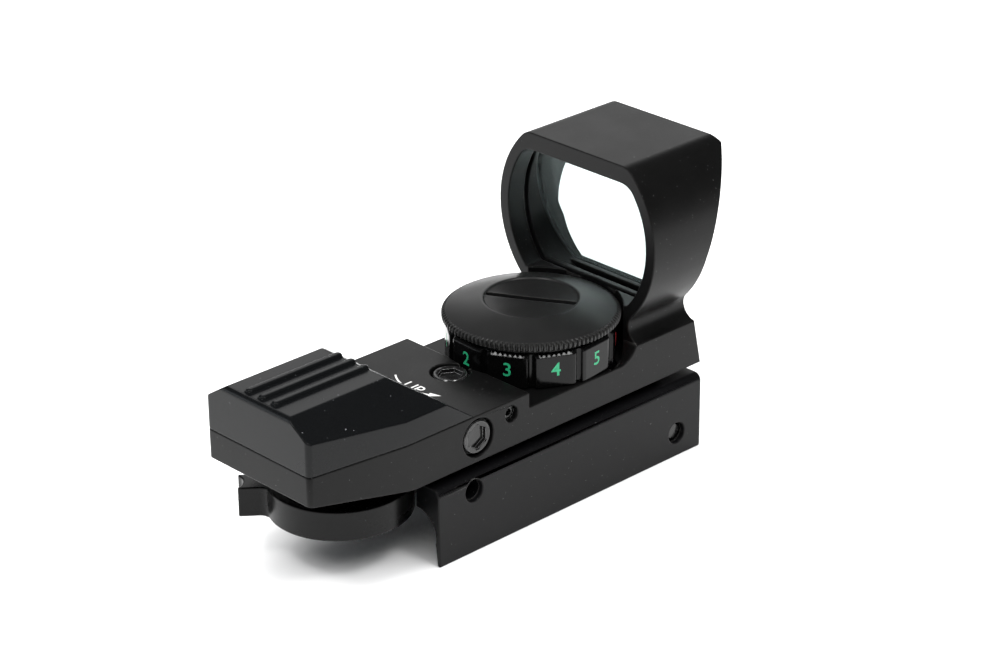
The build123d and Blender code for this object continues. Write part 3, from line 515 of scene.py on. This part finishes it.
def softened(node, name, body, slot_name, finish, width):
    """Stand in for a CAD node with a copy whose sharp edges are rounded."""
    shape = stand_up(name, clean_copy(node))
    rounding = shape.modifiers.new("rounding", "BEVEL")
    rounding.width, rounding.segments = width, 2
    rounding.limit_method, rounding.angle_limit = "ANGLE", radians(32)
    rounding.use_clamp_overlap = False
    flatten = shape.modifiers.new("flatten", "WEIGHTED_NORMAL")
    flatten.weight = 90
    mesh = freeze(shape, name)
    mesh.materials.clear()
    piece = link(name, mesh, body, slot_name, finish)
    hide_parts(node)
    print(name, len(mesh.polygons), "faces")


softened("main_housing", "housing_shell", "housing", "housing_finish", housing_finish, 0.2 * MM)
softened("rear_cover", "cover_shell", "housing", "cover_plastic", cover_finish, 0.2 * MM)
softened("mount_base", "clamp_body", "housing", "mount_finish", clamp_finish, 0.2 * MM)
softened("clamp_jaw", "clamp_side", "jaw", "mount_finish", clamp_finish, 0.2 * MM)
softened(
    "selector_drum", "selector_knob", "selector", "selector_finish", selector_finish, 0.2 * MM
)

# %% [markdown]
# ## Turned pieces from one tree
#
# The battery cap and the screws are lathe work: a profile swept round an axis. The Screw
# modifier does that, but its rings can't follow a rule. In Geometry Nodes the profile is
# swept round a circle, each point keeps its step number, and then its place is worked
# out anew. That leaves room for a rule on the radius: teeth cut into the cap's rim, or a
# hexagon instead of a round hole in a screw.

# %% The turning tree
STEPS_PER_TOOTH = 4
SOCKET_FLATS = 6


def build_turning_tree():
    tree = bpy.data.node_groups.new("turning", "GeometryNodeTree")
    for label, kind in (
        ("Profile", "NodeSocketGeometry"), ("Steps", "NodeSocketInt"),
        ("Tooth Depth", "NodeSocketFloat"), ("Toothed From", "NodeSocketFloat"),
        ("Flats", "NodeSocketInt"), ("Flats Within", "NodeSocketFloat"),
        ("Flats Above", "NodeSocketFloat"), ("Finish", "NodeSocketMaterial"),
    ):
        tree.interface.new_socket(label, in_out="INPUT", socket_type=kind)
    tree.interface.new_socket("Piece", in_out="OUTPUT", socket_type="NodeSocketGeometry")
    wire = Wire(tree)
    given = tree.nodes.new("NodeGroupInput")
    profile, steps, depth, toothed, flats, within, above, finish = (
        Wire(tree, given.outputs[i]) for i in range(8)
    )
    outline = wire.node("GeometryNodeMeshToCurve", {}, {0: profile})
    kept = tree.nodes.new("GeometryNodeCaptureAttribute")
    kept.capture_items.new("VECTOR", "Section")
    tree.links.new(outline.socket, kept.inputs[0])
    tree.links.new(wire.node("GeometryNodeInputPosition").socket, kept.inputs[1])
    circle = wire.node("GeometryNodeCurvePrimitiveCircle", {}, {"Resolution": steps})
    counted = tree.nodes.new("GeometryNodeCaptureAttribute")
    counted.capture_items.new("INT", "Step")
    tree.links.new(circle.socket, counted.inputs[0])
    tree.links.new(wire.node("GeometryNodeInputIndex").socket, counted.inputs[1])
    path, rib = Wire(tree, counted.outputs[0]), Wire(tree, kept.outputs[0])
    swept = wire.node("GeometryNodeCurveToMesh", {}, {0: path, 1: rib})
    section = wire.node("ShaderNodeSeparateXYZ", {}, {0: Wire(tree, kept.outputs[1])}).socket.node
    radius, height = Wire(tree, section.outputs[0]), Wire(tree, section.outputs[2])
    step = Wire(tree, counted.outputs[1])
    angle = step / steps * (2 * pi)
    gap = step.math("MODULO", STEPS_PER_TOOTH) > STEPS_PER_TOOTH / 2 - 0.5
    radius = radius - depth * gap * (radius > toothed)
    slice_angle = 2 * pi / flats
    off_flat = angle.math("MODULO", slice_angle) - slice_angle / 2
    hexagon = radius * (slice_angle / 2).math("COSINE") / off_flat.math("COSINE")
    squared = (radius < within) * (height > above)
    radius = hexagon * squared + radius * (1 - squared)
    where = wire.node(
        "ShaderNodeCombineXYZ", {},
        {0: radius * angle.math("COSINE"), 1: radius * angle.math("SINE"), 2: height},
    )
    placed = wire.node("GeometryNodeSetPosition", {}, {"Geometry": swept, "Position": where})
    joined = wire.node("GeometryNodeMergeByDistance", {}, {"Geometry": placed, "Distance": 1e-6})
    real = wire.node("GeometryNodeRealizeInstances", {}, {0: joined})
    painted = wire.node("GeometryNodeSetMaterial", {}, {"Geometry": real, "Material": finish})
    result = tree.nodes.new("NodeGroupOutput")
    tree.links.new(painted.socket, result.inputs[0])
    return tree


turning = build_turning_tree()
print("turning tree has", len(turning.nodes), "nodes")


# %% Turn a profile
def turned_piece(
    name, profile, finish, steps=64, tooth_depth=0.0, toothed_from=1.0, within=0.0, above=0.0
):
    """Mesh of a profile, a list of (radius, height) in millimetres, turned about Z."""
    outline = bpy.data.meshes.new(name)
    points = [(r * MM, 0, z * MM) for r, z in profile]
    outline.from_pydata(points, [(i, i + 1) for i in range(len(points) - 1)], [])
    shape = stand_up(name, outline)
    lathe = shape.modifiers.new("lathe", "NODES")
    lathe.node_group = turning
    values = {
        "Steps": steps, "Tooth Depth": tooth_depth * MM, "Toothed From": toothed_from * MM,
        "Flats": SOCKET_FLATS, "Flats Within": within * MM, "Flats Above": above * MM,
        "Finish": finish,
    }
    for item in turning.interface.items_tree:
        if item.name in values:
            lathe[item.identifier] = values[item.name]
    mesh = freeze(shape, name)
    facing = bmesh.new()
    facing.from_mesh(mesh)
    bmesh.ops.dissolve_degenerate(facing, edges=facing.edges, dist=1e-7)
    bmesh.ops.recalc_face_normals(facing, faces=facing.faces)
    facing.to_mesh(mesh)
    facing.free()
    shade(mesh)
    return mesh


# %% [markdown]
# ## Battery cap
#
# The cap screws down over a coin cell. Its cone ends in a rim with 110 fine teeth for
# the fingers, and a shallow dish in the middle has a slot for a coin. The slot is the
# one cut that isn't turned, so a Boolean makes it.

# %% The cap
TEETH, TOOTH_DEPTH, TOOTHED_FROM = 110, 0.42, 13.8
SLOT_HALF_LENGTH, SLOT_HALF_WIDTH = 7.6 * MM, 0.65 * MM
SLOT_FLOOR, SLOT_TURN = 22.05 * MM, radians(30.2)
cap_profile = [
    # Threaded skirt, from the inside out
    (0, 20.8), (10.3, 20.8), (10.3, 18.15), (10.45, 18.0), (11.15, 18.0), (11.3, 18.15),
    # Rim with the teeth
    (11.3, 20.8), (14.2, 20.8), (14.38, 20.95), (14.38, 21.6), (14.2, 21.85), (13.72, 22.06),
    # Cone and dish
    (13.6, 22.12), (8.1, 23.79), (7.9, 23.83), (7.7, 23.79), (7.5, 23.61), (7.3, 23.55),
    (0, 23.5),
]
blank_mesh = turned_piece(
    "cap_blank", cap_profile, cap_finish, steps=TEETH * STEPS_PER_TOOTH,
    tooth_depth=TOOTH_DEPTH, toothed_from=TOOTHED_FROM,
)
blank_mesh.transform(Matrix.Translation(DIAL_CENTRE))

slot_form = bmesh.new()
corners = []
for end in (1, -1):
    for i in range(9):
        turn = -pi / 2 + pi * i / 8
        x = end * (SLOT_HALF_LENGTH - SLOT_HALF_WIDTH + SLOT_HALF_WIDTH * cos(turn))
        corners.append(slot_form.verts.new((x, end * SLOT_HALF_WIDTH * sin(turn), SLOT_FLOOR)))
slot_form.faces.new(corners)
thicken(slot_form, 3 * MM)
slot_mesh = mesh_of(slot_form, "coin_slot")
slot_mesh.transform(Matrix.Translation(DIAL_CENTRE) @ Matrix.Rotation(SLOT_TURN, 4, "Z"))
cutter = stand_up("coin_slot", slot_mesh)
blank = stand_up("cap_blank", blank_mesh)
cut = blank.modifiers.new("cut", "BOOLEAN")
cut.object, cut.operation, cut.solver = cutter, "DIFFERENCE", "EXACT"
cap_mesh = freeze(blank, "toothed_cap")
bpy.data.objects.remove(cutter)
shade(cap_mesh)
cap_piece = link("toothed_cap", cap_mesh, "cap", "cap_finish")
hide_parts("battery_cap")
print("cap has", len(cap_mesh.polygons), "faces")

# %% [markdown]
# ## Socket screws
#
# The two adjusters and the two clamp bolts are the same kind of screw in three sizes. A
# thin rim stands round a wide hexagon socket, and its polished edge, lightened further by
# a painted highlight in the steel's edge colour, is the bright ring that tells the eye it
# is steel. A cylinder and a Boolean could make each one, but the rule for a hexagon is in
# the tree already, so one function turns them all.

# %% The socket screws
def socket_screw(name, node, body, axis, head, rise, socket, sink, shank):
    """A screw in its CAD node's box, its head at the end that `axis` points to.

    The radii of head, socket and shank, the head's height and the socket's depth are in
    millimetres.
    """
    axis = Vector(axis)
    low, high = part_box(node)
    half = (high - low) / 2
    to_head = Vector(h * a for h, a in zip(half, axis))
    reach = 2 * to_head.length / MM
    profile = [
        (0, -sink - 0.12), (socket * 0.55, -sink), (socket, -sink), (socket, -0.14),
        (socket + 0.13, 0), (head - 0.16, 0), (head, -0.16), (head, -rise + 0.1),
        (head - 0.1, -rise), (shank, -rise), (shank, -reach + 0.35), (shank - 0.35, -reach),
        (0, -reach),
    ]
    mesh = turned_piece(
        name, profile, screw_finish, steps=96, within=socket + 0.05, above=0.1 - rise
    )
    turn = Vector((0, 0, 1)).rotation_difference(axis).to_matrix().to_4x4()
    mesh.transform(Matrix.Translation(low + half + to_head) @ turn)
    piece = link(name, mesh, body, "screw_steel")
    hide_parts(node)
    print(name, round(reach, 2), "mm long")


UP, RIGHT, LEFT = (0, 0, 1), (1, 0, 0), (-1, 0, 0)
ADJUSTER_HEAD = {"head": 2.73, "rise": 1.04, "socket": 2.1, "sink": 0.8}
BOLT = {"head": 2.74, "rise": 3.0, "socket": 1.45, "sink": 1.7, "shank": 1.59}
socket_screw(
    "elevation_adjuster", "elevation_screw", "elevation_adjuster", UP, shank=1.49, **ADJUSTER_HEAD
)
socket_screw(
    "windage_adjuster", "windage_screw", "windage_adjuster", RIGHT, shank=1.74, **ADJUSTER_HEAD
)
for end in ("rear", "front"):
    socket_screw("bolt_" + end, "clamp_bolt_" + end, end + "_bolt", LEFT, **BOLT)

# %% [markdown]
# ## Numbers on the dial
#
# Eleven flats go round the dial: off, five steps in green and five in red. The numbers
# are thin paint. A mask in the dial's finish could show them, but it would blur close up.
# So each is a text curve with a hundredth of a millimetre of thickness, frozen to a mesh
# and stood on its flat.

# %% Painted numbers
FLATS, FLAT_OF_GREEN_5, ANGLE_OF_GREEN_5 = 11, 4, 5.0
DIAL_RADIUS = 13.9
FLAT_DISTANCE = (DIAL_RADIUS * cos(pi / FLATS) + 0.3) * MM
FLAT_MIDDLE = 17.15 * MM
NUMBER_SIZE, NUMBER_WEIGHT = 3.2 * MM, 0.011
PAINT_DEPTH = 0.012 * MM


def flat_text(words, size, material_index, weight):
    """A text's mesh, lying in XY and centred, with almost no thickness."""
    letters = bpy.data.curves.new("letters", "FONT")
    letters.body, letters.size, letters.extrude = words, size, PAINT_DEPTH
    letters.align_x, letters.align_y = "CENTER", "CENTER"
    letters.resolution_u, letters.offset = 6, size * weight
    mesh = freeze(bpy.data.objects.new("letters", letters), "letters")
    for face in mesh.polygons:
        face.material_index = material_index
    return mesh


def gather(meshes, name):
    """Several meshes as one, keeping their material numbers."""
    whole = bmesh.new()
    for mesh in meshes:
        whole.from_mesh(mesh)
    return mesh_of(whole, name)


numbers = []
for flat in range(FLATS):
    angle = radians(ANGLE_OF_GREEN_5 + (flat - FLAT_OF_GREEN_5) * 360 / FLATS)
    paint = flat // 5
    mesh = flat_text("12345123450"[flat], NUMBER_SIZE, paint, NUMBER_WEIGHT)
    outward = Vector((cos(angle), sin(angle), 0))
    along = Vector((-sin(angle), cos(angle), 0))
    stand = Matrix((along, Vector((0, 0, 1)), outward)).transposed().to_4x4()
    centre = DIAL_CENTRE + outward * FLAT_DISTANCE + Vector((0, 0, FLAT_MIDDLE))
    mesh.transform(Matrix.Translation(centre) @ stand)
    numbers.append(mesh)
number_mesh = gather(numbers, "dial_numbers")
paints = (green_paint, red_paint, white_paint)
link("dial_numbers", number_mesh, "dial", "dial_finish", *paints)
print(len(numbers), "numbers")

# %% [markdown]
# ## Direction mark
#
# White paint beside the elevation screw says which way to turn it: an arc, an arrow head
# and the word for up. The cover hides half of it, as on the real one. The arc is a strip
# of quads, since its ends must be cut square, and a curve's bevel would round them.

# %% The mark
low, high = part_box("elevation_screw")
ELEVATION_CENTRE = Vector(((low.x + high.x) / 2, (low.y + high.y) / 2, 0))
BLOCK_TOP = 16.6 * MM
MARK_RADIUS, MARK_WIDTH, MARK_DEPTH = 8.6 * MM, 0.3 * MM, 0.015 * MM
ARC_FROM, ARC_TO, HEAD_SPAN, ARC_STEPS = -128, -66, 14, 32
HEAD_HALF_WIDTH = 0.62 * MM
WORD_SIZE, WORD_X, WORD_Y = 3.2 * MM, -0.1 * MM, -20.3 * MM


def mark_point(radius, degrees_round):
    angle = radians(degrees_round)
    return ELEVATION_CENTRE + Vector((radius * cos(angle), radius * sin(angle), BLOCK_TOP))


arrow = bmesh.new()
previous = None
for i in range(ARC_STEPS + 1):
    round_by = ARC_FROM + (ARC_TO - ARC_FROM) * i / ARC_STEPS
    pair = [
        arrow.verts.new(mark_point(MARK_RADIUS + side * MARK_WIDTH / 2, round_by))
        for side in (-1, 1)
    ]
    if previous:
        arrow.faces.new((previous[0], previous[1], pair[1], pair[0]))
    previous = pair
tip = [
    arrow.verts.new(mark_point(MARK_RADIUS - HEAD_HALF_WIDTH, ARC_TO)),
    arrow.verts.new(mark_point(MARK_RADIUS + HEAD_HALF_WIDTH, ARC_TO)),
    arrow.verts.new(mark_point(MARK_RADIUS, ARC_TO + HEAD_SPAN)),
]
arrow.faces.new(tip)
thicken(arrow, MARK_DEPTH)
arrow_mesh = mesh_of(arrow, "arrow")

word_mesh = flat_text("UP", WORD_SIZE, 0, 0.0)
word_mesh.transform(Matrix.Translation((WORD_X, WORD_Y, BLOCK_TOP)))
mark_mesh = gather([arrow_mesh, word_mesh], "direction_mark")
link("direction_mark", mark_mesh, "housing", "housing_finish", white_paint)
print("mark has", len(mark_mesh.polygons), "faces")

# %% [markdown]
# ## Floor, world and lights
#
# A black object on a white table is lit mostly by what it reflects. Its upright faces
# mirror the bright table and its flat tops mirror the room, so the room is kept dim. One
# wide light overhead fills the table without a hard shadow, and glossy rays don't see it.
# A far panel gives the tops their sheen and a rear panel does the same for the back. Two
# small strips are there for the chamfers and edges alone, which mirror the ceiling.

# %% Studio
FLOOR_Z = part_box("mount_base")[0].z

floor_mesh = bmesh.new()
bmesh.ops.create_grid(floor_mesh, x_segments=8, y_segments=8, size=2.5)
bmesh.ops.translate(floor_mesh, verts=floor_mesh.verts, vec=(0, 0, FLOOR_Z))
floor_data = mesh_of(floor_mesh, "floor")
floor = stand_up("floor", floor_data)
floor_finish, floor_wire, floor_shader = start_finish("pale_table", Roughness=0.9)
paper = noise(floor_wire, 0.2, detail=1)
pale, paler = colour((243, 243, 243)), colour((246, 246, 246))
plug(blend_colours(floor_wire, paper, pale, paler), floor_shader, "Base Color")
floor_data.materials.append(floor_finish)


def soft_light(name, where, size, power, tint=(1, 1, 1)):
    """A square area light that looks at the sight."""
    light = bpy.data.lights.new(name, "AREA")
    light.size, light.energy, light.color = size, power, tint
    lamp = bpy.data.objects.new(name, light)
    lamp.location = where
    lamp.rotation_euler = (LOOK_AT - Vector(where)).to_track_quat("-Z", "Y").to_euler()
    bpy.context.collection.objects.link(lamp)
    return lamp


overhead = soft_light("overhead", (-0.05, 0.0, 0.95), 2.2, 44)
overhead.visible_glossy = False
soft_light("far_panel", (-0.95, 0.92, 0.6), 0.85, 2.6)
soft_light("rear_strip", (0.0, -0.5, 0.88), 0.17, 2.1)
soft_light("right_strip", (0.5, 0.01, 0.88), 0.17, 2.1)
soft_light("rear_panel", (-0.6, -0.8, 0.3), 0.5, 1.5, (0.88, 0.94, 1.0))
world = bpy.data.worlds.new("room")
world.use_nodes = True
background = world.node_tree.nodes["Background"]
background.inputs["Color"].default_value = (1, 1, 1, 1)
background.inputs["Strength"].default_value = 0.1
bpy.context.scene.world = world
bpy.context.scene.view_settings.view_transform = "Standard"
print(len(bpy.data.lights), "lights")
